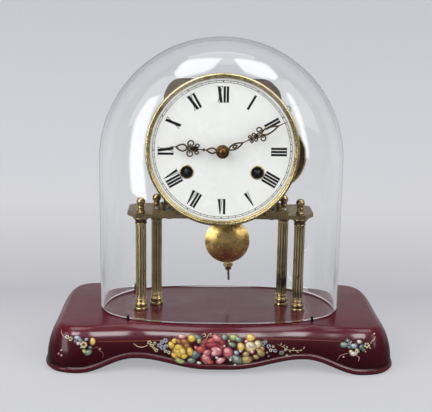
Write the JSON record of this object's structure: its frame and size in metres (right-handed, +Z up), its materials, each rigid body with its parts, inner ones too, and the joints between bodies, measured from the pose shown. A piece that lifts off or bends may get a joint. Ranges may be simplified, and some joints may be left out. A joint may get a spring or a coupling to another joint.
{
  "type": "pendulum clock",
  "caption": "Mantel clock under a glass dome: white dial, striking movement with swinging pendulum on fluted brass columns, shaped lacquered wood base.",
  "frame": {"origin": "centre of the bounding box's bottom, on the floor under the base", "axes": "+X to the right seen from the front, +Y to the back, +Z up; the dial faces -Y"},
  "size_m": [0.2596, 0.1265, 0.24],
  "materials": {
    "lacquered_wood": "dark burgundy gloss lacquer with painted flowers",
    "dome_glass": "clear blown glass",
    "column_brass": "aged, fluted",
    "turned_brass": "turned, aged",
    "plate_brass": "dull, brushed",
    "bracket_brass": "dull",
    "bezel_brass": "polished, lightly aged",
    "hand_brass": "pierced, dark in the recesses",
    "wheel_brass": "cut wheels, satin",
    "steel": "ground steel",
    "dial_enamel": "white gloss enamel",
    "bell_metal": "pale bell metal",
    "pendulum_brass": "polished, aged"
  },
  "bodies": {
    "case": {"wooden_base": "lacquered_wood", "dome_pins": "turned_brass", "column_front_left": "column_brass", "column_front_right": "column_brass", "column_back_left": "column_brass", "column_back_right": "column_brass", "foot_front_left": "turned_brass", "foot_front_right": "turned_brass", "foot_back_left": "turned_brass", "foot_back_right": "turned_brass", "capital_front_left": "turned_brass", "capital_front_right": "turned_brass", "capital_back_left": "turned_brass", "capital_back_right": "turned_brass", "finials": "turned_brass", "column_rods": "steel", "column_nuts": "steel", "top_plate": "plate_brass", "bracket_left": "bracket_brass", "bracket_right": "bracket_brass", "bracket_screws": "steel", "bezel": "bezel_brass", "dial_plate": "dial_enamel", "dial_posts": "bracket_brass", "winding_grommets": "bezel_brass", "front_plate": "plate_brass", "back_plate": "plate_brass", "plate_pillars": "plate_brass", "plate_nuts": "steel", "bell": "bell_metal", "bell_post": "steel", "pendulum_cock": "bracket_brass"},
    "dome": {"glass_dome": "dome_glass"},
    "minute_hands": {"minute_hand": "hand_brass", "hand_nut": "hand_brass", "cannon_pinion": "wheel_brass"},
    "minute_wheel": {"minute_wheel": "wheel_brass"},
    "hour_hands": {"hour_hand": "hand_brass", "hour_wheel": "wheel_brass"},
    "lever": {"lifting_lever": "steel"},
    "going_barrel": {"going_barrel": "wheel_brass"},
    "going_arbor": {"going_winding_arbor": "steel"},
    "going_click": {"going_click": "steel"},
    "intermediate": {"intermediate_wheel": "wheel_brass"},
    "centre": {"centre_wheel": "wheel_brass"},
    "third": {"third_wheel": "wheel_brass"},
    "escape": {"escape_wheel": "wheel_brass"},
    "anchor": {"anchor": "steel"},
    "pendulum": {"suspension_spring": "steel", "pendulum_rod": "pendulum_brass", "pendulum_bob": "pendulum_brass"},
    "rating_nut": {"rating_nut": "pendulum_brass"},
    "strike_barrel": {"strike_barrel": "wheel_brass"},
    "strike_arbor": {"strike_winding_arbor": "steel"},
    "strike_click": {"strike_click": "steel"},
    "pin_wheel": {"pin_wheel": "wheel_brass"},
    "warning": {"warning_wheel": "wheel_brass"},
    "fly": {"fly": "wheel_brass"},
    "hammer": {"hammer": "steel"}
  },
  "joints": [
    {"name": "dome_lift", "type": "slide", "parent": "case", "child": "dome", "axis": [0, 0, 1], "range_m": [0, 0.24]},
    {"name": "minute_hand_turn", "type": "hinge", "parent": "case", "child": "minute_hands", "pos_m": [0, -0.03, 0.1594], "axis": [0, 1, 0], "continuous": true},
    {"name": "minute_wheel_turn", "type": "hinge", "parent": "case", "child": "minute_wheel", "pos_m": [-0.006, -0.015, 0.16979], "axis": [0, 1, 0], "continuous": true},
    {"name": "hour_hand_turn", "type": "hinge", "parent": "case", "child": "hour_hands", "pos_m": [0, -0.025, 0.1594], "axis": [0, 1, 0], "continuous": true},
    {"name": "lever_lift", "type": "hinge", "parent": "case", "child": "lever", "pos_m": [0.024, -0.015, 0.1894], "axis": [0, 1, 0], "range_deg": [-8, 4]},
    {"name": "escape_turn", "type": "hinge", "parent": "case", "child": "escape", "pos_m": [0, 0, 0.18161], "axis": [0, 1, 0], "continuous": true},
    {"name": "third_turn", "type": "hinge", "parent": "case", "child": "third", "pos_m": [-0.0055, 0, 0.17123], "axis": [0, 1, 0], "continuous": true},
    {"name": "centre_turn", "type": "hinge", "parent": "case", "child": "centre", "pos_m": [0, 0, 0.1594], "axis": [0, 1, 0], "continuous": true},
    {"name": "intermediate_turn", "type": "hinge", "parent": "case", "child": "intermediate", "pos_m": [-0.0135, 0, 0.15676], "axis": [0, 1, 0], "continuous": true},
    {"name": "going_barrel_turn", "type": "hinge", "parent": "case", "child": "going_barrel", "pos_m": [-0.0258, 0, 0.14357], "axis": [0, 1, 0], "continuous": true},
    {"name": "going_winding", "type": "hinge", "parent": "case", "child": "going_arbor", "pos_m": [-0.0258, 0, 0.14357], "axis": [0, 1, 0], "continuous": true},
    {"name": "going_click_lift", "type": "hinge", "parent": "case", "child": "going_click", "pos_m": [-0.0131, -0.014, 0.13468], "axis": [0, 1, 0], "range_deg": [-20, 0]},
    {"name": "fly_turn", "type": "hinge", "parent": "case", "child": "fly", "pos_m": [0.03322, 0, 0.16672], "axis": [0, 1, 0], "continuous": true},
    {"name": "warning_turn", "type": "hinge", "parent": "case", "child": "warning", "pos_m": [0.02422, 0, 0.16225], "axis": [0, 1, 0], "continuous": true},
    {"name": "pin_wheel_turn", "type": "hinge", "parent": "case", "child": "pin_wheel", "pos_m": [0.0135, 0, 0.15676], "axis": [0, 1, 0], "continuous": true},
    {"name": "strike_barrel_turn", "type": "hinge", "parent": "case", "child": "strike_barrel", "pos_m": [0.0258, 0, 0.14357], "axis": [0, 1, 0], "continuous": true},
    {"name": "strike_winding", "type": "hinge", "parent": "case", "child": "strike_arbor", "pos_m": [0.0258, 0, 0.14357], "axis": [0, 1, 0], "continuous": true},
    {"name": "strike_click_lift", "type": "hinge", "parent": "case", "child": "strike_click", "pos_m": [0.0131, -0.014, 0.13468], "axis": [0, 1, 0], "range_deg": [0, 20]},
    {"name": "hammer_lift", "type": "hinge", "parent": "case", "child": "hammer", "pos_m": [0.022, 0, 0.1794], "axis": [0, 1, 0], "range_deg": [-12, 0]},
    {"name": "pendulum_swing", "type": "hinge", "parent": "case", "child": "pendulum", "pos_m": [0, 0.022, 0.19771], "axis": [0, 1, 0], "range_deg": [-2, 8]},
    {"name": "anchor_swing", "type": "hinge", "parent": "case", "child": "anchor", "pos_m": [0, 0, 0.19771], "axis": [0, 1, 0], "range_deg": [-2, 8]},
    {"name": "rating_nut_turn", "type": "hinge", "parent": "pendulum", "child": "rating_nut", "pos_m": [0, 0.022, 0.19771], "axis": [-0.0523, 0, 0.9986], "continuous": true}
  ],
  "couplings": [
    {"joint": "minute_wheel_turn", "follows": "minute_hand_turn", "ratio": -0.33333},
    {"joint": "hour_hand_turn", "follows": "minute_hand_turn", "ratio": 0.083333},
    {"joint": "third_turn", "follows": "escape_turn", "ratio": -0.0875},
    {"joint": "centre_turn", "follows": "escape_turn", "ratio": 0.0076562},
    {"joint": "intermediate_turn", "follows": "escape_turn", "ratio": -0.001276},
    {"joint": "going_barrel_turn", "follows": "escape_turn", "ratio": 0.00017723},
    {"joint": "warning_turn", "follows": "fly_turn", "ratio": -0.11667},
    {"joint": "pin_wheel_turn", "follows": "fly_turn", "ratio": 0.012374},
    {"joint": "strike_barrel_turn", "follows": "fly_turn", "ratio": -0.0017186},
    {"joint": "anchor_swing", "follows": "pendulum_swing", "ratio": 1}
  ]
}
